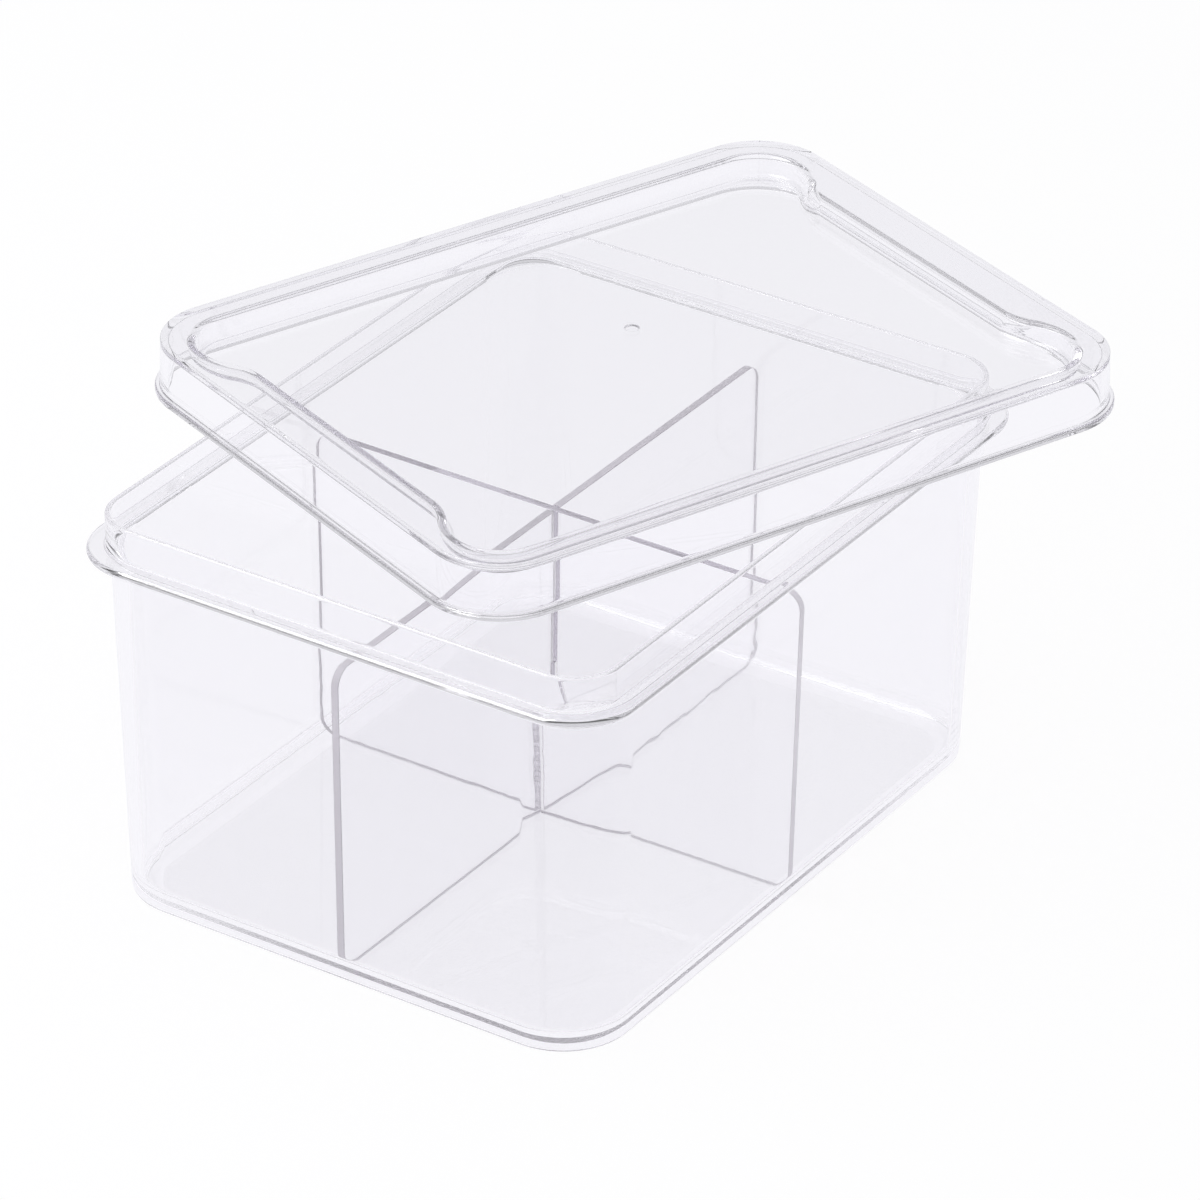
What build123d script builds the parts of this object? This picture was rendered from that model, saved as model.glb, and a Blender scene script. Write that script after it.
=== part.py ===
"""Clear storage box: a drafted tub with a flanged neck, a lid laid askew on it, two crossing dividers."""
import os
from math import atan, degrees

from build123d import *

# Frame: millimetres, +Z up, origin in the middle of the underside of the tub.
# The short sides face -Y and +Y, the long sides face -X and +X.

# Outside of the tub
flange_width = 218.4
flange_length = 280.0
flange_corner = 24.0
flange_thickness = 3.0
flange_edge = 0.9
tub_height = 150.0

# Wall of the tub, set in from the edge of the flange
wall_set_in = 5.2
wall_lean = 3.2
wall_corner = 24.3
base_edge = 3.0
flange_root = 0.8

# Neck that stands on the flange
neck_height = 12.8
neck_set_in = 6.5
neck_corner = 17.5
neck_wall = 2.0
neck_root = 1.2
rim_edge = 0.6

# Inside of the tub
floor_thickness = 3.0
cavity_lean = 2.3
cavity_corner = 21.7
floor_fillet = 6.5
mouth_drop = 1.5

# Dividers, each standing on the floor and held by its ends against the walls
divider_thickness = 3.0
divider_drop = 27.5
divider_end_gap = 0.35
divider_top_corner = 7.0
divider_edge = 0.3
lap_share = 0.5
lap_side_gap = 0.3
lap_end_gap = 0.3

# Lid, with its own middle and turn where it lies on the rim
lid_shift_x = 4.04
lid_shift_y = 44.43
lid_turn = -21.73
lid_rest_gap = 0.3
lid_set_in = 1.25
lid_height = 20.4
lid_corner = 26.0
lid_wall = 2.8
lid_lean = 0.5
lid_top_edge = 0.7
lip_flare = 1.7
lip_height = 2.6
lip_edge = 0.8
lip_root = 0.5

# Sunk panel of the lid, with a wider shelf along the middle of each short side. The bowl that it
# makes underneath drops into the mouth of the tub when the lid is on.
bowl_side_gap = 2.1
bowl_end_gap = 1.5
recess_corner = 16.0
recess_depth = 7.7
recess_top_edge = 3.0
recess_floor_edge = 1.8
panel_thickness = 2.2
panel_edge = 2.8
end_pocket_width = 17.8
end_shelf_step = 8.2
end_shelf_run = 24.0
channel_edge = 0.7

# Moulding mark left on the panel of the lid
gate_x = -21.0
gate_y = 13.6
gate_radius = 3.0
gate_depth = 0.4

# How far a cut runs past the face that it opens
overrun = 1.0

# Sizes that follow from those above
flange_top = tub_height - neck_height
flange_underside = flange_top - flange_thickness
wall_angle = degrees(atan(wall_lean / flange_underside))
base_set_in = wall_set_in + wall_lean
neck_width = flange_width - 2 * neck_set_in
neck_length = flange_length - 2 * neck_set_in
mouth_width = neck_width - 2 * neck_wall
mouth_length = neck_length - 2 * neck_wall
mouth_level = flange_top - mouth_drop
cavity_height = mouth_level - floor_thickness
divider_height = tub_height - divider_drop - floor_thickness
cavity_angle = degrees(atan(cavity_lean / cavity_height))
floor_width = mouth_width - 2 * cavity_lean
floor_length = mouth_length - 2 * cavity_lean
lid_plane = Plane(
    origin=(lid_shift_x, lid_shift_y, tub_height + lid_rest_gap),
    x_dir=Vector(1, 0, 0).rotate(Axis.Z, lid_turn),
    z_dir=(0, 0, 1),
)
lid_angle = degrees(atan(lid_lean / lid_height))
foot_width = flange_width - 2 * lid_set_in + 2 * lid_lean
foot_length = flange_length - 2 * lid_set_in + 2 * lid_lean
recess_width = mouth_width - 2 * bowl_side_gap - 2 * lid_wall
recess_length = mouth_length - 2 * bowl_end_gap - 2 * lid_wall
end_shelf_width = recess_width - 2 * end_pocket_width - 2 * end_shelf_run
panel_underside = lid_height - recess_depth - panel_thickness


# Tub: a drafted wall, a flange round its top, and a neck set back from the flange's edge
with BuildPart() as tub:
    with BuildSketch(Plane.XY):
        RectangleRounded(
            flange_width - 2 * base_set_in, flange_length - 2 * base_set_in, wall_corner
        )
    extrude(amount=flange_underside, taper=-wall_angle)
    fillet(tub.faces().sort_by(Axis.Z)[0].edges(), radius=base_edge)

    with BuildSketch(Plane.XY.offset(flange_underside)):
        RectangleRounded(flange_width, flange_length, flange_corner)
    extrude(amount=flange_thickness)
    flange_faces = tub.faces().filter_by(Axis.Z).group_by(Axis.Z)
    chamfer(flange_faces[-1].edges(), length=flange_edge)
    underside = tub.faces().filter_by(Axis.Z).group_by(Axis.Z)[1][0]
    chamfer(underside.outer_wire().edges(), length=flange_edge)
    underside = tub.faces().filter_by(Axis.Z).group_by(Axis.Z)[1][0]
    chamfer(underside.inner_wires().edges(), length=flange_root)

    with BuildSketch(Plane.XY.offset(flange_top)):
        RectangleRounded(neck_width, neck_length, neck_corner)
    extrude(amount=tub_height - flange_top)
    ledge = tub.faces().filter_by(Axis.Z).group_by(Axis.Z)[-2][0]
    chamfer(ledge.inner_wires().edges(), length=neck_root)

    # The inside leans less than the outside, so the wall thickens towards the flange
    with BuildSketch(Plane.XY.offset(floor_thickness)):
        RectangleRounded(floor_width, floor_length, cavity_corner)
    extrude(amount=cavity_height, taper=-cavity_angle, mode=Mode.SUBTRACT)
    with BuildSketch(Plane.XY.offset(mouth_level)):
        RectangleRounded(mouth_width, mouth_length, neck_corner - neck_wall)
    extrude(amount=tub_height - mouth_level + overrun, mode=Mode.SUBTRACT)
    chamfer(tub.faces().sort_by(Axis.Z)[-1].edges(), length=rim_edge)
    tub_floor = tub.faces().filter_by(Axis.Z).group_by(Axis.Z)[1][0]
    fillet(tub_floor.edges(), radius=floor_fillet)
tub.part.label = "tub"


def divider_face(plane, floor_span, slot_from_top):
    """Outline of one divider, wider at the top as the cavity is, with its half-lap slot."""
    lean = divider_height * cavity_lean / cavity_height
    foot = floor_span / 2 - divider_end_gap
    top = floor_thickness + divider_height
    lap_level = floor_thickness + divider_height * lap_share
    if slot_from_top:
        slot_low = lap_level - lap_end_gap / 2
        slot_high = top + overrun
    else:
        slot_low = floor_thickness - overrun
        slot_high = lap_level + lap_end_gap / 2
    with BuildSketch(plane) as face:
        with BuildLine():
            Polyline(
                (-foot, floor_thickness),
                (foot, floor_thickness),
                (foot + lean, top),
                (-foot - lean, top),
                close=True,
            )
        make_face()
        fillet(face.vertices().group_by(Axis.Y)[-1], radius=divider_top_corner)
        fillet(face.vertices().group_by(Axis.Y)[0], radius=floor_fillet + divider_end_gap)
        with Locations((0, (slot_low + slot_high) / 2)):
            Rectangle(
                divider_thickness + 2 * lap_side_gap, slot_high - slot_low, mode=Mode.SUBTRACT
            )
    return face.sketch


# Long divider: stands along Y, slotted from its top edge
with BuildPart() as long_divider:
    extrude(
        divider_face(Plane.YZ, floor_length, slot_from_top=True),
        amount=divider_thickness / 2,
        both=True,
    )
    chamfer(long_divider.faces().filter_by(Axis.X).edges(), length=divider_edge)
long_divider.part.label = "long_divider"


# Short divider: stands along X, slotted from its bottom edge, so it drops over the long one
with BuildPart() as short_divider:
    extrude(
        divider_face(Plane.XZ, floor_width, slot_from_top=False),
        amount=divider_thickness / 2,
        both=True,
    )
    chamfer(short_divider.faces().filter_by(Axis.Y).edges(), length=divider_edge)
short_divider.part.label = "short_divider"


def recess_face(plane, grow):
    """Outline of the sunk panel: a rounded rectangle whose short sides step inwards in the middle."""
    side = recess_width / 2
    end = recess_length / 2
    shelf_half = end_shelf_width / 2
    half_run = end_shelf_run / 2
    half_step = end_shelf_step / 2
    with BuildSketch(plane) as face:
        with BuildLine():
            Line((0, end - end_shelf_step), (shelf_half, end - end_shelf_step))
            bend_in = TangentArc(
                (shelf_half, end - end_shelf_step),
                (shelf_half + half_run, end - half_step),
                tangent=(1, 0),
            )
            TangentArc(
                (shelf_half + half_run, end - half_step),
                (shelf_half + end_shelf_run, end),
                tangent=bend_in % 1,
            )
            Line((shelf_half + end_shelf_run, end), (side - recess_corner, end))
            TangentArc((side - recess_corner, end), (side, end - recess_corner), tangent=(1, 0))
            Line((side, end - recess_corner), (side, 0))
            mirror(about=Plane.XZ)
            mirror(about=Plane.YZ)
        make_face()
        if grow:
            offset(amount=grow)
    return face.sketch


# Lid: one even wall that runs down the skirt, over the shelf and down into the sunk panel
with BuildPart() as lid:
    with BuildSketch(lid_plane):
        RectangleRounded(foot_width, foot_length, lid_corner + lid_lean)
    extrude(amount=lid_height, taper=lid_angle)
    chamfer(lid.faces().sort_by(Axis.Z)[-1].edges(), length=lid_top_edge)
    with BuildSketch(lid_plane):
        RectangleRounded(
            foot_width + 2 * lip_flare, foot_length + 2 * lip_flare, lid_corner + lid_lean + lip_flare
        )
    extrude(amount=lip_height)
    lip_top = lid.faces().filter_by(Axis.Z).group_by(Axis.Z)[1][0]
    chamfer(lip_top.outer_wire().edges(), length=lip_edge)
    lip_top = lid.faces().filter_by(Axis.Z).group_by(Axis.Z)[1][0]
    chamfer(lip_top.inner_wires().edges(), length=lip_root)

    # Underneath: hollow out to the shelf, then put the bowl of the sunk panel back
    with BuildSketch(lid_plane):
        RectangleRounded(
            foot_width - 2 * lid_wall, foot_length - 2 * lid_wall, lid_corner + lid_lean - lid_wall
        )
    extrude(amount=lid_height - lid_wall, taper=lid_angle, mode=Mode.SUBTRACT)
    bowl = recess_face(lid_plane.offset(panel_underside), grow=lid_wall)
    extrude(bowl, amount=lid_height - lid_wall - panel_underside)
    sunk = recess_face(lid_plane.offset(lid_height - recess_depth), grow=0)
    extrude(sunk, amount=recess_depth + overrun, mode=Mode.SUBTRACT)

    # Counted down from the shelf: shelf, channel roof, top of the panel, underside of the panel
    for level, length in ((-4, panel_edge), (-3, recess_floor_edge), (-2, channel_edge)):
        face = lid.faces().filter_by(Axis.Z).group_by(Axis.Z)[level][0]
        chamfer(face.edges(), length=length)
    shelf = lid.faces().sort_by(Axis.Z)[-1]
    fillet(shelf.inner_wires().edges(), radius=recess_top_edge)

    with BuildSketch(lid_plane.offset(lid_height - recess_depth)):
        with Locations((gate_x, gate_y)):
            Circle(gate_radius)
    extrude(amount=-gate_depth, mode=Mode.SUBTRACT)
lid.part.label = "lid"


os.makedirs("parts", exist_ok=True)
for piece in (tub, long_divider, short_divider, lid):
    solid = piece.part
    export_step(solid, f"parts/{solid.label}.step")
    print(solid.label, "solids", len(solid.solids()), "volume", round(solid.volume))
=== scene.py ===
# %% [markdown]
# A clear acrylic storage box with its lid.
#
# The box is a moulded tub with a flange and a neck, a cross of two clear plates that part it into
# four, and a moulded lid that lies askew on the rim. Everything here is clear, so what the eye reads
# is not colour but the way each edge, fillet and corner bends the white room behind it. The pieces
# are therefore made with true wall thicknesses and finely rounded edges, and the room is made with
# as much care as the box.

import math

import bpy
import bmesh
from mathutils import Matrix, Vector


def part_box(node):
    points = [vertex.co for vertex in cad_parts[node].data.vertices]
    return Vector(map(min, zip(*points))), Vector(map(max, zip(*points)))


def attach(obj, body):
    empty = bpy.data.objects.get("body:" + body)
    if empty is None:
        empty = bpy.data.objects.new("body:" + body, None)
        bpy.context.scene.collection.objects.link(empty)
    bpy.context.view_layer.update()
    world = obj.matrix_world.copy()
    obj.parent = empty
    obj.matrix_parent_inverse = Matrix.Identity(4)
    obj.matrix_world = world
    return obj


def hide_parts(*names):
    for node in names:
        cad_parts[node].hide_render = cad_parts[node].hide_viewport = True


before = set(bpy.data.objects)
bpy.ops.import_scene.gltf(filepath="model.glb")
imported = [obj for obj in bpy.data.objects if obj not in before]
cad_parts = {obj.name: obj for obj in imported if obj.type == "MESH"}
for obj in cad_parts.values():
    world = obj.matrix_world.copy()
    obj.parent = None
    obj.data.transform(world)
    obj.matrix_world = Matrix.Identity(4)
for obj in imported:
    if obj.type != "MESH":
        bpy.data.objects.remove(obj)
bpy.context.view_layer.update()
bpy.context.scene.view_settings.view_transform = "Standard"
print("nodes", sorted(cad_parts))

# %% [markdown]
# The camera comes first. It was worked out once from the edges of the tub: a long lens, far back,
# looking down by about thirty degrees at the corner between a short side and a long side. The
# numbers below are that result, written as a place, two angles and a small roll.

# %% Camera
MM = 0.001
camera_place = Vector((1281.38, -1933.23, 1423.70)) * MM
camera_heading = 2.149076
camera_dip = 0.522791
camera_roll = 0.0090978
camera_lens = 229.79
camera_sensor = 36.0
camera_reach = 20


def camera_axes():
    """Forward, right and up of the camera, with its roll."""
    forward = Vector(
        (
            math.cos(camera_dip) * math.cos(camera_heading),
            math.cos(camera_dip) * math.sin(camera_heading),
            -math.sin(camera_dip),
        )
    )
    level = Vector((math.sin(camera_heading), -math.cos(camera_heading), 0))
    steep = level.cross(forward)
    right = math.cos(camera_roll) * level + math.sin(camera_roll) * steep
    up = math.cos(camera_roll) * steep - math.sin(camera_roll) * level
    return forward, right, up


forward, right, up = camera_axes()
bpy.ops.object.select_all(action="DESELECT")
bpy.ops.object.camera_add()
camera = bpy.context.active_object
camera.name = "camera"
camera.data.lens = camera_lens
camera.data.sensor_width = camera_sensor
camera.data.clip_end = camera_reach
camera_turn = Matrix((right, up, -forward)).transposed().to_4x4()
camera.matrix_world = Matrix.Translation(camera_place) @ camera_turn
bpy.context.scene.camera = camera
print("camera looks along", [round(c, 3) for c in forward])

# %% [markdown]
# Next, two small helpers for shaders. Shader maths reads best as plain expressions, so one class
# wraps a socket and adds a Math node for each operator. Any other node comes from `node`, which
# takes the node's type, its settings and what goes into its sockets. `blend` and `ramp` are short
# forms of the two that are used most.


# %% Shader helpers
class Wire:
    """A socket for shader maths: it can be added, multiplied or taken from a number."""

    def __init__(self, tree, socket):
        self.tree = tree
        self.socket = socket

    def node(self, kind, settings=None, inputs=None, out=0):
        """Adds a node, sets it up, fills or links its sockets and returns one of its outputs."""
        made = self.tree.nodes.new(kind)
        for name, value in (settings or {}).items():
            setattr(made, name, value)
        for key, value in (inputs or {}).items():
            if isinstance(value, Wire):
                self.tree.links.new(value.socket, made.inputs[key])
            else:
                made.inputs[key].default_value = value
        return Wire(self.tree, made.outputs[out])

    def maths(self, operation, first, second=0.0):
        return self.node("ShaderNodeMath", {"operation": operation}, {0: first, 1: second})

    def __add__(self, other):
        return self.maths("ADD", self, other)

    __radd__ = __add__

    def __rsub__(self, other):
        return self.maths("SUBTRACT", other, self)

    def __mul__(self, other):
        return self.maths("MULTIPLY", self, other)

    __rmul__ = __mul__

    def most(self, other):
        return self.maths("MAXIMUM", self, other)

    def least(self, other):
        return self.maths("MINIMUM", self, other)

    def size(self):
        return self.maths("ABSOLUTE", self)

    def blend(self, factor, first, second):
        """Mixes two colours, each given as three numbers or as a wire, by a factor."""
        colours = [c if isinstance(c, Wire) else (*c, 1) for c in (first, second)]
        inputs = {"Factor": factor, 6: colours[0], 7: colours[1]}
        return self.node("ShaderNodeMix", {"data_type": "RGBA"}, inputs, out=2)

    def ramp(self, low, high, to_low=0.0, to_high=1.0):
        """Maps low..high smoothly to to_low..to_high."""
        return self.node(
            "ShaderNodeMapRange",
            {"interpolation_type": "SMOOTHSTEP"},
            {"Value": self, "From Min": low, "From Max": high, "To Min": to_low, "To Max": to_high},
        )


def empty_tree(owner):
    """Clears a material's or world's nodes and returns a wire to build on, and its output node."""
    owner.use_nodes = True
    tree = owner.node_tree
    tree.nodes.clear()
    kind = "ShaderNodeOutputWorld" if isinstance(owner, bpy.types.World) else "ShaderNodeOutputMaterial"
    return Wire(tree, None), tree.nodes.new(kind)


# %% [markdown]
# Clear plastic. A clear wall has almost no colour of its own. What shows is how it bends light, so
# the shader is a plain Principled one with full transmission and the refractive index of moulded
# acrylic. Three things keep it from looking like a perfect computer surface: a slow waviness left by
# the mould, which makes straight edges behind it wobble, a very fine haze, and a faint lavender cast.
# The waves are weaker in the neck, the flange and the lid, whose lines are thin and clean in the
# photograph, and the flat floor has none. The cast lies in the depth of the plastic, as absorption,
# so a thin wall is almost white and a lip or rim seen along its length turns mauve.
#
# The foot needs its own. Along the rim of its underside the tub presses on the table, plastic and
# table touch, and light goes from one into the other instead of being thrown back into the floor of
# the tub. So that ring gets an index close to that of air, and the white of the table shows through
# the lowest band of the wall. Inside the ring the underside stands a hair clear of the table, and it
# is slightly satin, as the base of a moulding often is. Seen from the side, it draws the thin grey
# line above that band. Both finishes go without the absorption, which is left to the tub's own.
#
# Lamps are let through: for the shadow that the box casts, each wall only dims the light a little.
# Otherwise the floor under clear walls would lie in a full, dark shadow.

# %% Clear plastic
cast_colour = (0.3, 0.22, 0.42)
clearest = (0.998, 0.997, 1.0)
cloudiest = (0.988, 0.986, 0.995)
shadow_tint = (0.965, 0.96, 0.97)
moulded_index = 1.51
touching_index = 1.03
still_below = (0.005, 0.015)
calm_above = (0.125, 0.134)
calm_share = 0.15
grain_scale = 900.0
grain_range = (0.35, 0.75)
haze_spread = 2.5


def clear_plastic(name, wave_size, wave_height, haze, density=0, index=moulded_index):
    """A clear moulded plastic: slightly wavy, slightly hazy, and mauve in its depth.

    A further finish on the same piece has density 0, and leaves the depth to the piece's first.
    """
    material = bpy.data.materials.new(name)
    wire, output = empty_tree(material)
    place = wire.node("ShaderNodeTexCoord", out="Object")
    above = wire.node("ShaderNodeSeparateXYZ", {}, {0: place}, out="Z")
    slow = wire.node("ShaderNodeTexNoise", {}, {"Vector": place, "Scale": 1 / wave_size, "Detail": 1.0})
    waves = slow * above.ramp(*calm_above, 1.0, calm_share) * above.ramp(*still_below)
    fine = wire.node("ShaderNodeTexNoise", {}, {"Vector": place, "Scale": grain_scale, "Detail": 3.0})
    tone = wire.blend(fine, clearest, cloudiest)
    body = wire.node(
        "ShaderNodeBsdfPrincipled",
        {},
        {
            "Base Color": tone,
            "Roughness": fine.ramp(*grain_range, haze, haze * haze_spread),
            "IOR": index,
            "Transmission Weight": 1.0,
            "Normal": wire.node("ShaderNodeBump", {}, {"Distance": wave_height, "Height": waves}),
        },
    )
    shadow = wire.node("ShaderNodeLightPath", out="Is Shadow Ray")
    bounced = wire.node("ShaderNodeLightPath", out="Is Diffuse Ray")
    dimmed = wire.node("ShaderNodeBsdfTransparent", {}, {"Color": (*shadow_tint, 1)})
    shell = wire.node("ShaderNodeMixShader", {}, {0: shadow.most(bounced), 1: body, 2: dimmed})
    material.node_tree.links.new(shell.socket, output.inputs["Surface"])
    if density:
        depth = wire.node(
            "ShaderNodeVolumeAbsorption", {}, {"Color": (*cast_colour, 1), "Density": density}
        )
        material.node_tree.links.new(depth.socket, output.inputs["Volume"])
    return material


tub_waves = {"wave_size": 0.011, "wave_height": 0.00002}
lid_waves = {"wave_size": 0.02, "wave_height": 0.00002}
divider_waves = {"wave_size": 0.02, "wave_height": 0.00003}
clear_tub = clear_plastic("clear_tub", **tub_waves, haze=0.002, density=0.35)
clear_foot = clear_plastic("clear_foot", **tub_waves, haze=0.002, index=touching_index)
satin_base = clear_plastic("satin_base", **tub_waves, haze=0.1)
clear_lid = clear_plastic("clear_lid", **lid_waves, haze=0.002, density=0.8)
clear_divider = clear_plastic("clear_divider", **divider_waves, haze=0.003, density=1.5)
print("clear plastics", [m.name for m in (clear_tub, clear_foot, satin_base, clear_lid, clear_divider)])

# %% [markdown]
# Cut edges. The dividers are cut from sheet, and a saw leaves an edge that scatters light instead of
# letting it straight through. So their edges read as soft mauve-grey bands, with fine saw marks
# across them, while the flat sides stay clear. Along both borders of the band, where the sharp
# corner is broken, a darker grey is painted in: painted shade for the dark lines that the broken
# corners draw by bending the room.

# %% Cut edge
sheet = 3.0
mark_scale = 1400.0
mark_depth = 0.00003
mark_roughness = (0.35, 0.6)
patch_scale = 60.0
see_through = 0.55
sawn_dark = (0.88, 0.85, 0.89)
sawn_light = (0.97, 0.95, 0.98)
# Painted shade along both borders of the sawn band: its colour, its share and where it begins and ends.
border_shade_colour = (0.62, 0.59, 0.63)
border_shade_share = 0.8
border_shade_from = (sheet / 2 - 0.4) * MM
border_shade_to = (sheet / 2 - 0.2) * MM


def cut_edge_plastic(name):
    """The frosted, sawn edge of a clear sheet, with painted shade along both borders."""
    material = bpy.data.materials.new(name)
    wire, output = empty_tree(material)
    place = wire.node("ShaderNodeTexCoord", out="Object")
    marks = wire.node("ShaderNodeTexNoise", {}, {"Vector": place, "Scale": mark_scale, "Detail": 2.0})
    patches = wire.node("ShaderNodeTexNoise", {}, {"Vector": place, "Scale": patch_scale, "Detail": 2.0})
    from_x = wire.node("ShaderNodeSeparateXYZ", {}, {0: place}, out="X").size()
    from_y = wire.node("ShaderNodeSeparateXYZ", {}, {0: place}, out="Y").size()
    # Painted shade: a darker colour near both faces of the sheet, standing in for the dark lines the
    # broken corners draw.
    shaded_border = from_x.least(from_y).ramp(border_shade_from, border_shade_to)
    sawn = wire.blend(patches, sawn_dark, sawn_light)
    tone = wire.blend(shaded_border * border_shade_share, sawn, border_shade_colour)
    body = wire.node(
        "ShaderNodeBsdfPrincipled",
        {},
        {
            "Base Color": tone,
            "Roughness": marks.ramp(0.3, 0.7, *mark_roughness),
            "IOR": moulded_index,
            "Transmission Weight": see_through,
            "Normal": wire.node("ShaderNodeBump", {}, {"Distance": mark_depth, "Height": marks}),
        },
    )
    material.node_tree.links.new(body.socket, output.inputs["Surface"])
    return material


cut_edge = cut_edge_plastic("cut_edge")
print("cut edge", cut_edge.name, "on sheet of", sheet, "mm")

# %% [markdown]
# A moulded shell such as the tub is one wall that follows a path: up the outside, round the flange,
# up the neck, over the rim and down the inside. Cut level, it shows a rounded rectangle at every
# height. So it can be made as a stack of outlines, each a plane with its four corners rounded by a
# vertex bevel, and each joined to the one before by a bridge. Every fillet is a few outlines on a
# quarter circle. This gives even quads, exact sizes and round edges as fine as wanted.
#
# The bridge needs no list of numbers to find its edges: the last outline and the new one are the only
# open edges, so `select_non_manifold` picks just those two.

# %% Outlines and bridges
corner_steps = 32
drawing_height = 1000.0


def start_mesh(name):
    """Adds a mesh object, empties it and stays in edit mode."""
    bpy.ops.object.select_all(action="DESELECT")
    bpy.ops.mesh.primitive_plane_add(size=1)
    piece = bpy.context.active_object
    piece.name = name
    piece.data.name = name
    bpy.ops.object.mode_set(mode="EDIT")
    bpy.ops.mesh.select_mode(type="VERT")
    bpy.ops.mesh.select_all(action="SELECT")
    bpy.ops.mesh.delete(type="VERT")
    return piece


def bevel_corners(radius, steps):
    """Rounds the selected corners of a flat face, by a radius in millimetres."""
    bpy.ops.mesh.bevel(
        affect="VERTICES", offset=radius * MM, segments=steps, profile=0.5, clamp_overlap=False
    )


def add_outline(width, length, corner, height, keep_face=False):
    """Adds one rounded rectangle, as a loop of edges or as a face. Sizes in millimetres."""
    bpy.ops.mesh.select_all(action="DESELECT")
    bpy.ops.mesh.primitive_plane_add(size=1, location=(0, 0, height * MM))
    bpy.ops.transform.resize(value=(width * MM, length * MM, 1), center_override=(0, 0, height * MM))
    bevel_corners(corner, corner_steps)
    if not keep_face:
        bpy.ops.mesh.delete(type="ONLY_FACE")


def open_edges():
    """Selects the last outline and the one before it: edges with no face, or with only one."""
    bpy.ops.mesh.select_all(action="DESELECT")
    bpy.ops.mesh.select_mode(type="EDGE")
    bpy.ops.mesh.select_non_manifold(
        use_wire=True, use_boundary=True, use_multi_face=False, use_non_contiguous=False, use_verts=False
    )


def choose(piece, wanted, kind="VERT"):
    """In edit mode, selects the vertices, edges or faces that wanted(item) is true for."""
    bpy.ops.mesh.select_all(action="DESELECT")
    bpy.ops.mesh.select_mode(type=kind)
    mesh = bmesh.from_edit_mesh(piece.data)
    items = {"VERT": mesh.verts, "EDGE": mesh.edges, "FACE": mesh.faces}[kind]
    for item in items:
        item.select = wanted(item)
    mesh.select_flush_mode()
    bmesh.update_edit_mesh(piece.data)


def near(value, target, reach=0.01):
    """Whether two sizes in millimetres are the same place."""
    return abs(value - target) < reach


def stack_outlines(piece, width, length, path):
    """Joins the outlines of a path. Each is a set-in from the size, a corner and a height.

    Two flat loops at one height can be bridged the wrong way round, so each new outline is drawn
    high above the piece, bridged from there, and then brought down to its own height.
    """
    for number, (set_in, corner, height) in enumerate(path):
        ends = number in (0, len(path) - 1)
        add_outline(width - 2 * set_in, length - 2 * set_in, corner, drawing_height, keep_face=ends)
        if number:
            open_edges()
            bpy.ops.mesh.bridge_edge_loops()
        choose(piece, lambda vertex: near(vertex.co.z / MM, drawing_height))
        bpy.ops.transform.translate(value=(0, 0, (height - drawing_height) * MM))


def finish_shell(piece):
    """Turns the faces outwards, smooths them, and keeps the flats flat by weighting the normals."""
    bpy.ops.mesh.select_all(action="SELECT")
    bpy.ops.mesh.normals_make_consistent(inside=False)
    bpy.ops.object.mode_set(mode="OBJECT")
    bpy.ops.object.shade_smooth()
    weighted = piece.modifiers.new("even_flats", "WEIGHTED_NORMAL")
    weighted.weight = 100
    bpy.ops.object.modifier_apply(modifier=weighted.name)
    print(piece.name, "faces", len(piece.data.polygons))


def turn(radius, steps, upright_first=False):
    """A quarter circle as pairs of run and rise from 0 to radius, starting level or upright."""
    angles = [math.pi / 2 * step / steps for step in range(steps + 1)]
    pairs = [(radius * math.sin(angle), radius * (1 - math.cos(angle))) for angle in angles]
    return [(rise, run) for run, rise in pairs] if upright_first else pairs


# %% [markdown]
# The tub. Its sizes are written from the edge of the flange inwards, which is how such a moulding is
# drawn. The wall leans out from foot to flange so that it leaves the mould, and its inside leans
# less, so the wall thickens towards the top. The leaning faces keep one corner radius from bottom to
# top. Everywhere else, rounding an edge takes as much off the corner's radius as it sets the outline
# in, so that the rounding runs evenly round the corners too. A short hold of flat is left beside each
# rounding, so that smooth shading doesn't spread from the rounding over the flat face.

# %% Sizes of the tub
tub_low, tub_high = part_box("tub")
flange_width = (tub_high.x - tub_low.x) / MM
flange_length = (tub_high.y - tub_low.y) / MM
tub_height = tub_high.z / MM
flange_corner = 24.0
flange_thickness = 3.0
neck_height = 12.8
neck_set_in = 6.5
neck_wall = 2.0
wall_set_in = 5.2
wall_lean = 3.2
wall_corner = 26.0
floor_thickness = 3.0
cavity_lean = 2.3
cavity_corner = 25.2
cavity_fillet = 6.5
mouth_drop = 1.5
hold = 0.35
flange_top = tub_height - neck_height
flange_underside = flange_top - flange_thickness
mouth_level = flange_top - mouth_drop
mouth_set_in = neck_set_in + neck_wall
print("flange", round(flange_width, 1), round(flange_length, 1), "height", round(tub_height, 1))


# %% The wall's path
def outside_path():
    """From the base up the leaning wall to the underside of the flange."""
    base_edge = 1.3
    foot_ring = 10.5
    root = 0.8

    def leaning(height):
        return wall_set_in + wall_lean * (1 - height / flange_underside)

    foot = leaning(base_edge)
    top = leaning(flange_underside)
    steps = [(foot + foot_ring, 0), (foot + base_edge + hold, 0)]
    steps += [(foot + base_edge - run, rise) for run, rise in turn(base_edge, 8)]
    steps += [(leaning(base_edge + hold), base_edge + hold)]
    steps += [(leaning(height), height) for height in (40.0, 80.0, 120.0)]
    steps += [(leaning(flange_underside - root - hold), flange_underside - root - hold)]
    steps += [(top - run, flange_underside - root + rise) for run, rise in turn(root, 5, True)]
    steps += [(top - root - hold, flange_underside)]
    return [(set_in, wall_corner + leaning(height) - set_in, height) for set_in, height in steps]


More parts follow.
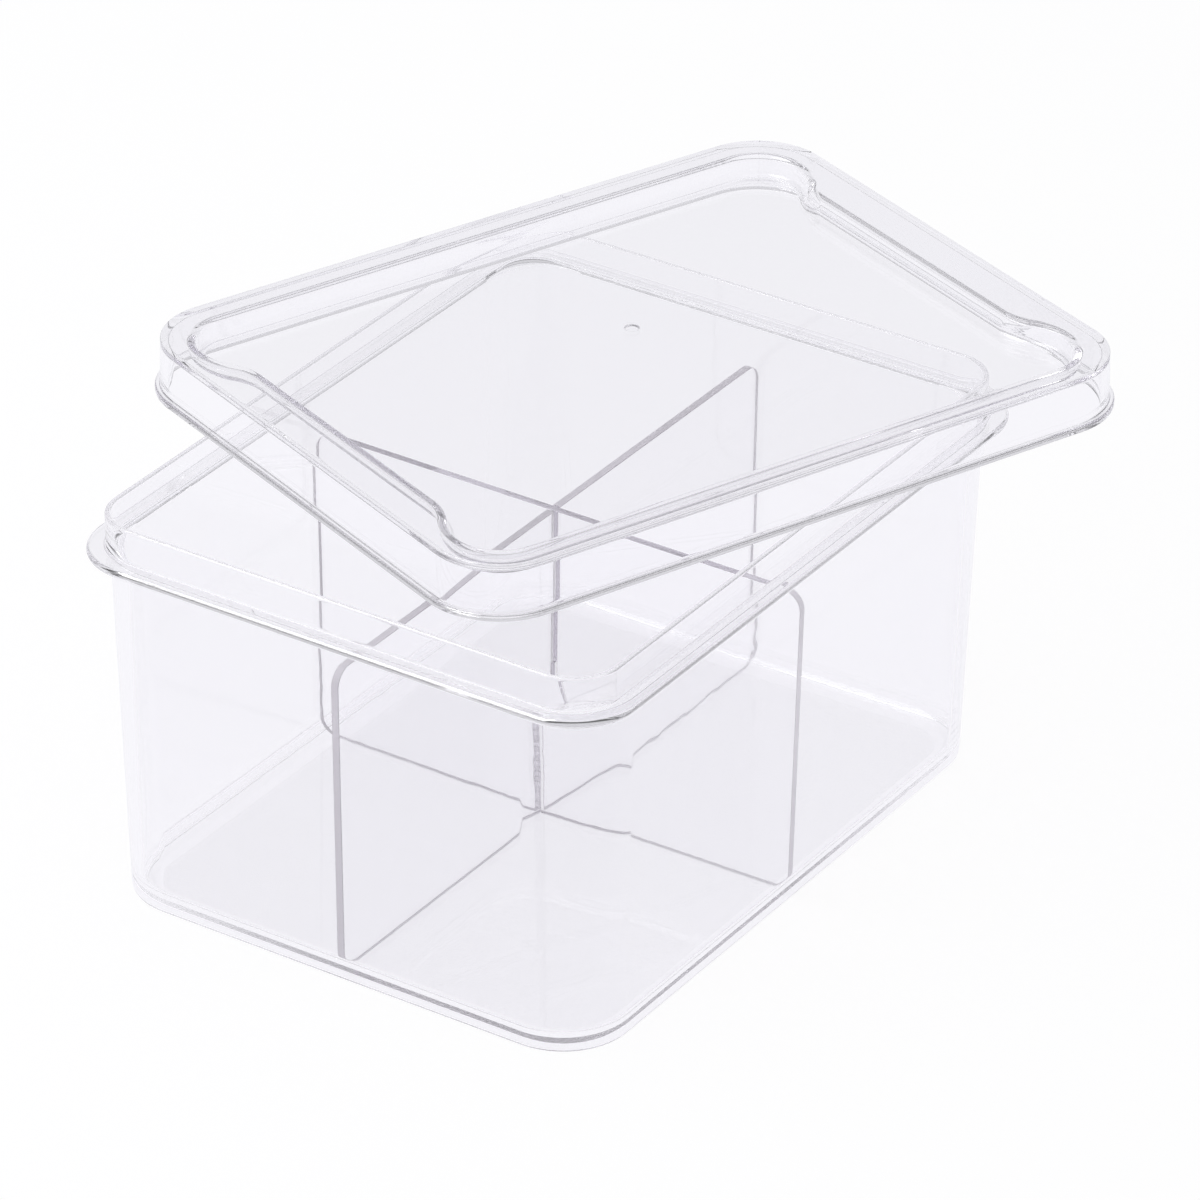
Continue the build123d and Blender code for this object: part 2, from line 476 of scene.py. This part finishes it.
def flange_path():
    """Round the flange, up the neck, over the rim and down to where the cavity begins."""
    edge = 1.4
    root = 0.9
    rim = 0.96
    neck_in = mouth_set_in
    steps = [(edge + hold, flange_underside)]
    steps += [(edge - run, flange_underside + rise) for run, rise in turn(edge, 7)]
    steps += [(run, flange_top - edge + rise) for run, rise in turn(edge, 7, True)]
    steps += [(edge + hold, flange_top), (neck_set_in - root - hold, flange_top)]
    steps += [(neck_set_in - root + run, flange_top + rise) for run, rise in turn(root, 7)]
    steps += [(neck_set_in, flange_top + root + hold), (neck_set_in, tub_height - rim - hold)]
    steps += [(neck_set_in + run, tub_height - rim + rise) for run, rise in turn(rim, 6, True)]
    steps += [(neck_in - rim + run, tub_height - rise) for run, rise in turn(rim, 6)]
    steps += [(neck_in, tub_height - rim - hold), (neck_in, mouth_level + 2 * hold)]
    return [(set_in, flange_corner - set_in, height) for set_in, height in steps]


def cavity_path():
    """Down the inside of the wall, round the fillet and on to the floor."""
    on_floor = 2.5 * cavity_fillet

    def leaning(height):
        share = (height - floor_thickness) / (mouth_level - floor_thickness)
        return mouth_set_in + cavity_lean * (1 - share)

    low = floor_thickness + cavity_fillet
    foot = leaning(low)
    steps = [(leaning(height), height) for height in (mouth_level, mouth_level - 2 * hold)]
    steps += [(leaning(height), height) for height in (120.0, 80.0, 40.0, low + hold)]
    steps += [(foot + run, low - rise) for run, rise in turn(cavity_fillet, 14, True)]
    steps += [(foot + cavity_fillet + hold, floor_thickness), (foot + on_floor, floor_thickness)]
    return [(set_in, cavity_corner + leaning(height) - set_in, height) for set_in, height in steps]


# %% Make the tub
tub = start_mesh("tub_shell")
stack_outlines(tub, flange_width, flange_length, outside_path() + flange_path() + cavity_path())
finish_shell(tub)

# %% [markdown]
# The dividers are cut from sheet: two plates that cross by half laps, the long one slotted from its
# top and the short one from its bottom. Each starts as a plane stood on edge. Its foot is drawn in to
# follow the leaning wall, its corners are rounded, and a box cuts the slot. Solidify gives the sheet
# its thickness and a fine bevel breaks its edges.

# %% Sizes of the dividers
divider_drop = 27.5
divider_end_gap = 0.35
lap_gap = 0.3
divider_top = tub_height - divider_drop
divider_height = divider_top - floor_thickness
divider_lean = cavity_lean * divider_height / (mouth_level - floor_thickness)
print("divider height", round(divider_height, 1), "lean", round(divider_lean, 2))


def cut_away(piece, cutter):
    """Takes the cutter's shape out of the piece and removes the cutter."""
    bpy.ops.object.select_all(action="DESELECT")
    piece.select_set(True)
    bpy.context.view_layer.objects.active = piece
    cut = piece.modifiers.new("cut", "BOOLEAN")
    cut.operation = "DIFFERENCE"
    cut.object = cutter
    cut.solver = "EXACT"
    bpy.ops.object.modifier_apply(modifier=cut.name)
    bpy.data.objects.remove(cutter)


# %% Make the dividers
def make_divider(name, floor_span, slot_from_top, along_y):
    """One plate, drawn along X and turned a quarter if it stands along Y."""
    top_corner = 7.0
    foot_corner = cavity_fillet + divider_end_gap
    rounding_steps = 12
    overrun = 1.0
    broken_edge = 0.22
    sharp_angle = 50
    middle = (floor_thickness + divider_top) / 2
    foot_span = floor_span - 2 * divider_end_gap
    bpy.ops.object.select_all(action="DESELECT")
    bpy.ops.mesh.primitive_plane_add(size=1, location=(0, 0, middle * MM), rotation=(math.pi / 2, 0, 0))
    piece = bpy.context.active_object
    piece.name = piece.data.name = name
    top_span = foot_span + 2 * divider_lean
    piece.scale = (top_span * MM, divider_height * MM, 1)
    bpy.ops.object.transform_apply(location=True, rotation=True, scale=True)
    bpy.ops.object.mode_set(mode="EDIT")
    choose(piece, lambda vertex: near(vertex.co.z / MM, floor_thickness))
    bpy.ops.transform.resize(value=(foot_span / top_span, 1, 1), center_override=(0, 0, 0))
    choose(piece, lambda vertex: near(vertex.co.z / MM, floor_thickness))
    bevel_corners(foot_corner, rounding_steps)
    choose(piece, lambda vertex: near(vertex.co.z / MM, divider_top))
    bevel_corners(top_corner, rounding_steps)
    bpy.ops.object.mode_set(mode="OBJECT")
    thicken = piece.modifiers.new("sheet", "SOLIDIFY")
    thicken.thickness = sheet * MM
    thicken.offset = 0
    bpy.ops.object.modifier_apply(modifier=thicken.name)

    lap = floor_thickness + divider_height / 2
    low, high = floor_thickness - overrun, lap + lap_gap / 2
    if slot_from_top:
        low, high = lap - lap_gap / 2, divider_top + overrun
    bpy.ops.object.select_all(action="DESELECT")
    bpy.ops.mesh.primitive_cube_add(size=1, location=(0, 0, (low + high) / 2 * MM))
    cutter = bpy.context.active_object
    cutter.scale = ((sheet + 2 * lap_gap) * MM, 3 * sheet * MM, (high - low) * MM)
    bpy.ops.object.transform_apply(location=True, rotation=True, scale=True)
    cut_away(piece, cutter)

    soften = piece.modifiers.new("broken_edge", "BEVEL")
    soften.width = broken_edge * MM
    soften.segments = 3
    soften.limit_method = "ANGLE"
    soften.angle_limit = math.radians(sharp_angle)
    bpy.ops.object.modifier_apply(modifier=soften.name)
    if along_y:
        piece.rotation_euler.z = math.pi / 2
        bpy.ops.object.transform_apply(location=True, rotation=True, scale=True)
    bpy.ops.object.mode_set(mode="EDIT")
    finish_shell(piece)
    return piece


floor_width = flange_width - 2 * (mouth_set_in + cavity_lean)
floor_length = flange_length - 2 * (mouth_set_in + cavity_lean)
long_divider = make_divider("long_divider_plate", floor_length, slot_from_top=True, along_y=True)
short_divider = make_divider("short_divider_plate", floor_width, slot_from_top=False, along_y=False)

# %% [markdown]
# The lid is one even wall too, but its top has two outlines: the skirt's rounded rectangle, and the
# sunk panel's, whose short sides step inwards in the middle. The bowl that the panel makes underneath
# drops into the tub's mouth when the lid is on, so its size follows from the mouth's with a gap all
# round.
#
# The lid is made in three parts. The skirt is a stack of outlines like the tub. The sunk panel is
# drawn as a stepped face and sunk ring by ring with the inset tool, which keeps its distance all
# round, once for the top and once for the underside. Two flat rings, the shelf and the roof of the
# channel below it, join them up.
#
# The lid is made square and level about its own middle, with its lip at height zero. Only at the end
# is it turned and set down on the rim, askew, as it lies in the photograph. Its corners are finer
# polygons than the CAD mesh has, so they would reach a little further out once it is turned. The lid
# is set in by three hundredths of a millimetre more, which keeps it inside the CAD model's box.

# %% Sizes of the lid
lid_shift = (4.04, 44.43)
lid_turn = -21.73
lid_rest_gap = 0.3
lid_low, lid_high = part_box("lid")
lid_height = (lid_high.z - lid_low.z) / MM
lid_set_in = 1.28
lid_width = flange_width - 2 * lid_set_in
lid_length = flange_length - 2 * lid_set_in
lid_corner = 25.97
lid_wall = 2.8
lid_lean = 0.5
lip_flare = 1.7
lip_height = 2.6
bowl_side_gap = 2.1
bowl_end_gap = 1.5
recess_width = flange_width - 2 * (mouth_set_in + bowl_side_gap + lid_wall)
recess_length = flange_length - 2 * (mouth_set_in + bowl_end_gap + lid_wall)
recess_corner = 16.0
recess_depth = 7.7
panel_thickness = 2.2
end_pocket_width = 17.8
end_shelf_step = 8.2
end_shelf_run = 24.0
end_shelf_width = recess_width - 2 * (end_pocket_width + end_shelf_run)
gate_x = -21.0
gate_y = 13.6
gate_radius = 3.0
foot_width = lid_width + 2 * (lid_lean + lip_flare)
foot_length = lid_length + 2 * (lid_lean + lip_flare)
lip_corner = lid_corner + lid_lean + lip_flare
roof = lid_height - lid_wall
panel_underside = lid_height - recess_depth - panel_thickness
print("lid height", round(lid_height, 2))


# %% Skirt
def skirt_path():
    """From the shelf, over the edge, down the skirt, round the lip and up inside to the roof."""
    top_edge = 0.3
    lip_edge = 0.8
    lip_root = 0.4
    lip_foot = 0.5
    inner_foot = 0.4
    channel_edge = 0.4
    on_shelf = 3 * top_edge

    def outer(height):
        return lip_flare + lid_lean * height / lid_height

    def inner(height):
        return outer(height) + lid_wall

    low = lid_height - top_edge
    steps = [(outer(low) + on_shelf, lid_height), (outer(low) + top_edge + hold, lid_height)]
    steps += [(outer(low) + top_edge - run, lid_height - rise) for run, rise in turn(top_edge, 8)]
    root_top = lip_height + lip_root + hold
    steps += [(outer(low - hold), low - hold), (outer(root_top), root_top)]
    root = outer(lip_height)
    steps += [(root - run, lip_height + lip_root - rise) for run, rise in turn(lip_root, 4, True)]
    steps += [(lip_edge - run, lip_height - rise) for run, rise in turn(lip_edge, 6)]
    steps += [(run, lip_foot - rise) for run, rise in turn(lip_foot, 4, True)]
    steps += [(lip_foot + hold, 0), (inner(0) - inner_foot - hold, 0)]
    steps += [(inner(0) - inner_foot + run, rise) for run, rise in turn(inner_foot, 4)]
    steps += [(inner(inner_foot + hold), inner_foot + hold)]
    steps += [(inner(roof - channel_edge - hold), roof - channel_edge - hold)]
    side = inner(roof - channel_edge)
    steps += [(side + run, roof - channel_edge + rise) for run, rise in turn(channel_edge, 5, True)]
    steps += [(side + channel_edge + hold, roof)]
    return [(set_in, lip_corner - set_in, height) for set_in, height in steps]


lid = start_mesh("lid_shell")
stack_outlines(lid, foot_width, foot_length, skirt_path())
choose(lid, lambda face: len(face.verts) > 4, "FACE")
bpy.ops.mesh.delete(type="ONLY_FACE")
bpy.ops.object.mode_set(mode="OBJECT")


# %% Sunk panel
bend_steps = 10
# The two bends of a step would meet in one point. This share keeps them a hair apart.
meet_share = 0.998
gate_sides = 48
gate_rings = ((0.2, 0.04), (0.25, 0.12), (0.25, 0.14), (0.25, 0.08), (0.25, 0.02))


def add_stepped_face(piece, grow, height):
    """Draws the outline of the sunk panel as a face, grown by some millimetres."""
    side = recess_width / 2 + grow
    end = recess_length / 2 + grow
    half_turn = math.atan2(end_shelf_step, end_shelf_run)
    bend = end_shelf_run / math.sin(2 * half_turn) / 2
    inner_x = end_shelf_width / 2 + (bend - grow) * math.tan(half_turn)
    outer_x = end_shelf_width / 2 + end_shelf_run - (bend + grow) * math.tan(half_turn)
    bpy.ops.mesh.primitive_plane_add(size=1, location=(0, 0, height * MM))
    bpy.ops.transform.resize(value=(2 * side * MM, 2 * end * MM, 1), center_override=(0, 0, height * MM))
    for x in (-outer_x, -inner_x, inner_x, outer_x):
        bpy.ops.mesh.select_all(action="SELECT")
        bpy.ops.mesh.bisect(plane_co=(x * MM, 0, 0), plane_no=(1, 0, 0))
    bpy.ops.mesh.select_all(action="SELECT")
    bpy.ops.mesh.dissolve_faces()
    for way in (-1, 1):
        choose(piece, lambda vertex: abs(vertex.co.x) < (inner_x + 1) * MM and vertex.co.y * way > 0)
        bpy.ops.transform.translate(value=(0, -way * end_shelf_step * MM, 0))
    corners = [
        (side, end, recess_corner + grow, corner_steps),
        (inner_x, end - end_shelf_step, (bend - grow) * math.tan(half_turn) * meet_share, bend_steps),
        (outer_x, end, (bend + grow) * math.tan(half_turn) * meet_share, bend_steps),
    ]
    for x, y, offset, steps in corners:
        choose(piece, lambda vertex: near(abs(vertex.co.x) / MM, x) and near(abs(vertex.co.y) / MM, y))
        bevel_corners(offset, steps)
    bpy.ops.mesh.select_all(action="SELECT")
    bpy.ops.mesh.select_mode(type="FACE")


def make_dish(name, grow, height, path):
    """Sinks a stepped face ring by ring. The path gives how far in and how far down each ring is."""
    piece = start_mesh(name)
    add_stepped_face(piece, grow, height)
    for (last_in, last_down), (far_in, far_down) in zip(path, path[1:]):
        bpy.ops.mesh.inset(
            thickness=(far_in - last_in) * MM, depth=-(far_down - last_down) * MM, use_even_offset=True
        )
    bpy.ops.object.mode_set(mode="OBJECT")
    print(name, "rings", len(path) - 1, "faces", len(piece.data.polygons))
    return piece


def dish_path(edge, edge_steps, foot_radius, foot_steps, depth):
    """Over a rounded edge, straight down and round the foot on to the flat. It leans by a hair."""
    lean = 0.04
    foot = depth - foot_radius
    path = [(0, 0), (hold, 0)]
    path += [(hold + run, rise) for run, rise in turn(edge, edge_steps)[1:]]
    wall = hold + edge
    path += [(wall + lean, edge + hold), (wall + 2 * lean, foot - hold)]
    wall += 3 * lean
    path += [(wall + run, foot + rise) for run, rise in turn(foot_radius, foot_steps, True)]
    path += [(wall + foot_radius + hold, depth)]
    return path


def add_gate_mark(piece):
    """Sinks a small round dimple into the middle face of a dish, ring by ring."""
    level = lid_height - recess_depth
    bpy.ops.object.mode_set(mode="EDIT")
    choose(piece, lambda face: len(face.verts) > 8, "FACE")
    bpy.ops.mesh.delete(type="ONLY_FACE")
    bpy.ops.mesh.select_all(action="DESELECT")
    place = (gate_x * MM, gate_y * MM, level * MM)
    bpy.ops.mesh.primitive_circle_add(
        vertices=gate_sides, radius=gate_radius * MM, fill_type="NGON", location=place
    )
    bpy.ops.mesh.select_mode(type="FACE")
    for run, drop in gate_rings:
        bpy.ops.mesh.inset(thickness=run * MM, depth=-drop * MM, use_even_offset=True)
    choose(piece, lambda edge: edge.is_boundary and near(edge.verts[0].co.z / MM, level), "EDGE")
    bpy.ops.mesh.fill(use_beauty=True)
    bpy.ops.object.mode_set(mode="OBJECT")
    lowest = min(vertex.co.z for vertex in piece.data.vertices) / MM
    print("gate mark depth", round(level - lowest, 2))


# %% Join the lid's three parts
top_edge = 3.0
floor_edge = 2.8
under_edge = 0.5
under_foot = 4.6
top_dish = make_dish(
    "top_dish", top_edge + hold, lid_height, dish_path(top_edge, 10, floor_edge, 9, recess_depth)
)
add_gate_mark(top_dish)
low_dish = make_dish(
    "low_dish",
    lid_wall + under_edge + hold,
    roof,
    dish_path(under_edge, 5, under_foot, 11, roof - panel_underside),
)
bpy.ops.object.select_all(action="DESELECT")
for piece in (top_dish, low_dish, lid):
    piece.select_set(True)
bpy.context.view_layer.objects.active = lid
bpy.ops.object.join()
bpy.ops.object.mode_set(mode="EDIT")
for level in (lid_height, roof):
    choose(lid, lambda edge: edge.is_boundary and near(edge.verts[0].co.z / MM, level), "EDGE")
    bpy.ops.mesh.fill(use_beauty=True)
bpy.ops.object.mode_set(mode="OBJECT")
print("lid faces", len(lid.data.polygons))

# %% Set the lid down on the rim
lid.rotation_euler.z = math.radians(lid_turn)
lid.location = (lid_shift[0] * MM, lid_shift[1] * MM, (tub_height + lid_rest_gap) * MM)
bpy.ops.object.select_all(action="DESELECT")
lid.select_set(True)
bpy.context.view_layer.objects.active = lid
bpy.ops.object.transform_apply(location=True, rotation=True, scale=True)
bpy.ops.object.mode_set(mode="EDIT")
finish_shell(lid)

# %% [markdown]
# Each new piece stands for its CAD node, rides on that node's body and takes its slot's finish. The
# dividers' narrow faces take the sawn finish as well. Those whose middle lies in the lap stay clear,
# to keep the bar at the crossing light: of the slots' sides only one is sawn, on the long divider
# towards the viewer. The short divider's top edge is one face with its middle over the lap, so it
# stays clear too. The tub's underside takes the foot's two finishes, by face: its outer ring is the
# faces with four corners, and its middle is one large face.

# %% Tie the pieces to the frame
lap_reach = 2 * sheet * MM
side_on = 0.9
dressed = [
    (tub, "tub", "clear_tub", clear_tub),
    (long_divider, "long_divider", "clear_divider", clear_divider),
    (short_divider, "short_divider", "clear_divider", clear_divider),
    (lid, "lid", "clear_lid", clear_lid),
]
for piece, node, slot_name, material in dressed:
    piece.data.materials.clear()
    piece.data.materials.append(material)
    if slot_name == "clear_divider":
        piece.data.materials.append(cut_edge)
        across = 0 if node == "long_divider" else 1
        for face in piece.data.polygons:
            in_lap = face.center.to_2d().length < lap_reach
            hidden = in_lap and (node == "short_divider" or face.center.y > 0)
            narrow = abs(face.normal[across]) < side_on
            face.material_index = 1 if narrow and not hidden else 0
    if node == "tub":
        piece.data.materials.append(clear_foot)
        piece.data.materials.append(satin_base)
        for face in piece.data.polygons:
            under = near(face.center.z / MM, 0)
            ring = len(face.vertices) == 4
            face.material_index = (1 if ring else 2) if under else 0
    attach(piece, node)
    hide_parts(node)
    print(piece.name, "stands for", node, "with", [m.name for m in piece.data.materials])

# %% [markdown]
# The room. Clear plastic shows only what is around it. Its flat walls show the white table behind
# them, and its edges bend the view far away, up to what is above and beside the table. A studio
# that lights glass keeps the table bright and the upper room dim, so that each edge draws a fine
# grey line. The world does the same here: white low down, dimmer higher up, most of all on the far
# side, and bright again overhead where a soft box hangs. Thirty degrees up on the far side stands a
# paler card, because there the lid's panel and the tub's floor mirror the room towards the viewer.
# The card's outer and inner size are angles from its middle, in radians. The other numbers are
# heights and shares between 0 and 1.
#
# The table and the backdrop are white where the camera sees them directly. Seen through the plastic
# or mirrored in it they are a touch greyer and cooler, so that the clear walls stand out from the
# background, as they do in the photograph.

# %% Room
through_tone = (0.94, 0.935, 0.972)
plain_white = (1, 1, 1)
card_level = 0.866
card_up = 0.5
card_outer = 0.35
card_inner = 0.16
card_share = 0.65
dim_from = (0.05, 0.2)
dim_until = (0.8, 0.95)
dim_near = 0.3
dim_far = 0.64
far_from = (0.0, 0.5)
world = bpy.data.worlds.new("studio")
bpy.context.scene.world = world
wire, output = empty_tree(world)
direction = wire.node("ShaderNodeTexCoord", out="Generated")


def ahead(level, up):
    """How closely a direction matches the camera's heading, taken so far level and so far up."""
    aim = (level * math.cos(camera_heading), level * math.sin(camera_heading), up)
    return direction.node(
        "ShaderNodeVectorMath", {"operation": "DOT_PRODUCT"}, {0: direction, 1: aim}, out="Value"
    )


height = wire.node("ShaderNodeSeparateXYZ", {}, {0: direction}, out="Z")
card = ahead(card_level, card_up).ramp(math.cos(card_outer), math.cos(card_inner)) * card_share
dimmed = height.ramp(*dim_from) * (1 - height.ramp(*dim_until)) * (1 - card)
brightness = 1.0 - dimmed * (dim_near + dim_far * ahead(1, 0).ramp(*far_from))
seen = wire.node("ShaderNodeLightPath", out="Is Camera Ray")
room_tone = wire.blend(seen, through_tone, plain_white)
background = wire.node("ShaderNodeBackground", {}, {"Color": room_tone, "Strength": brightness})
world.node_tree.links.new(background.socket, output.inputs["Surface"])
print("world", world.name, "nodes", len(world.node_tree.nodes))

# %% [markdown]
# The table is a plane just under the tub. As the camera sees it, directly or in the plastic, four
# parts in five are an even glow, so that it is white without more light on the box, and one part is a
# matt white that takes the box's soft shadow. For light that a matt surface scatters on to it, it is
# matt all over. The lamp is one large soft box, up on the left.

# %% Table and lamp
table_gap = 0.3
table_white = (0.9, 0.9, 0.9)
glow_share = 0.8
glow_strength = 1.07
lamp_place = Vector((-0.9, -0.6, 1.9))
lamp_aim = Vector((0.9, 0.6, -1.8))
lamp_size = 1.2
lamp_energy = 12
bpy.ops.object.select_all(action="DESELECT")
bpy.ops.mesh.primitive_plane_add(size=6, location=(0, 0, -table_gap * MM))
floor = bpy.context.active_object
floor.name = "floor"
floor_white = bpy.data.materials.new("floor_white")
wire, output = empty_tree(floor_white)
seen = wire.node("ShaderNodeLightPath", out="Is Camera Ray")
shone = wire.node("ShaderNodeLightPath", out="Is Glossy Ray")
passed = wire.node("ShaderNodeLightPath", out="Is Transmission Ray")
matt = wire.node("ShaderNodeBsdfDiffuse", {}, {"Color": (*table_white, 1)})
table_tone = wire.blend(seen, through_tone, plain_white)
glow = wire.node("ShaderNodeEmission", {}, {"Color": table_tone, "Strength": glow_strength})
glowing = wire.node("ShaderNodeMixShader", {}, {0: glow_share, 1: matt, 2: glow})
table = wire.node("ShaderNodeMixShader", {}, {0: seen.most(shone).most(passed), 1: matt, 2: glowing})
floor_white.node_tree.links.new(table.socket, output.inputs["Surface"])
floor.data.materials.append(floor_white)

bpy.ops.object.light_add(type="AREA", location=lamp_place)
lamp = bpy.context.active_object
lamp.name = "soft_box"
lamp.data.shape = "RECTANGLE"
lamp.data.size = lamp_size
lamp.data.size_y = lamp_size
lamp.data.energy = lamp_energy
lamp_turn = lamp_aim.to_track_quat("-Z", "Y").to_matrix().to_4x4()
lamp.matrix_world = Matrix.Translation(lamp_place) @ lamp_turn
print("lamp", lamp.name, "at", [round(c, 2) for c in lamp_place])

# %% [markdown]
# Light in clear plastic bounces many times between its faces before it finds a way out, and a path
# that is cut short brings no light back. So the bounce limits are high.

# %% Bounces
bounces = 128
clear_bounces = 32
cycles = bpy.context.scene.cycles
cycles.max_bounces = bounces
cycles.transmission_bounces = bounces
cycles.glossy_bounces = bounces
cycles.transparent_max_bounces = clear_bounces
print("bounces", cycles.max_bounces)
